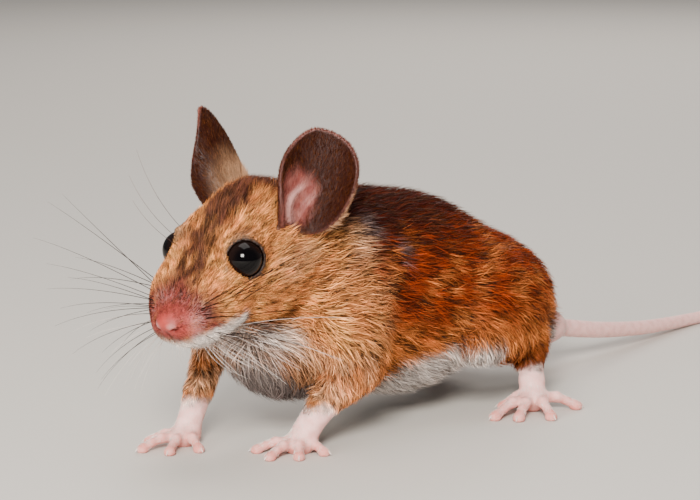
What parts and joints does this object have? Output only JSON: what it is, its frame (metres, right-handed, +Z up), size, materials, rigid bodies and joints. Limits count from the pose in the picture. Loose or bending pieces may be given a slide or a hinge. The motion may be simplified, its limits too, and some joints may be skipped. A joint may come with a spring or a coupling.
{
  "type": "field mouse",
  "caption": "Life-size still model of a field mouse standing on its feet with its head raised and turned, its tail trailing on the ground.",
  "frame": {"origin": "centre of the bounding box in plan, on the floor that the feet and the tail rest on", "axes": "+Z up; -Y the way the mouse faces, +Y along the trailing tail; +X to the mouse's left"},
  "size_m": [0.0388, 0.1524, 0.0447],
  "materials": {
    "coat": "short fur, orange-brown with dark ticking above and grey-white below",
    "skin": "bare pink skin with fine pale hairs",
    "ear": "thin skin with very short dark brown hair outside, pink inside",
    "nose": "bare moist pink skin",
    "eye": "wet black"
  },
  "bodies": {
    "root": {"head": "coat", "nose": "nose", "eye_left": "eye", "eye_right": "eye", "ear_left": "ear", "ear_right": "ear", "neck": "coat", "trunk": "coat", "foreleg_left": "coat", "forefoot_left": "skin", "foreleg_right": "coat", "forefoot_right": "skin", "hindleg_left": "coat", "hindfoot_left": "skin", "hindleg_right": "coat", "hindfoot_right": "skin", "tail_base": "skin", "tail_middle": "skin", "tail_tip": "skin"}
  },
  "joints": []
}
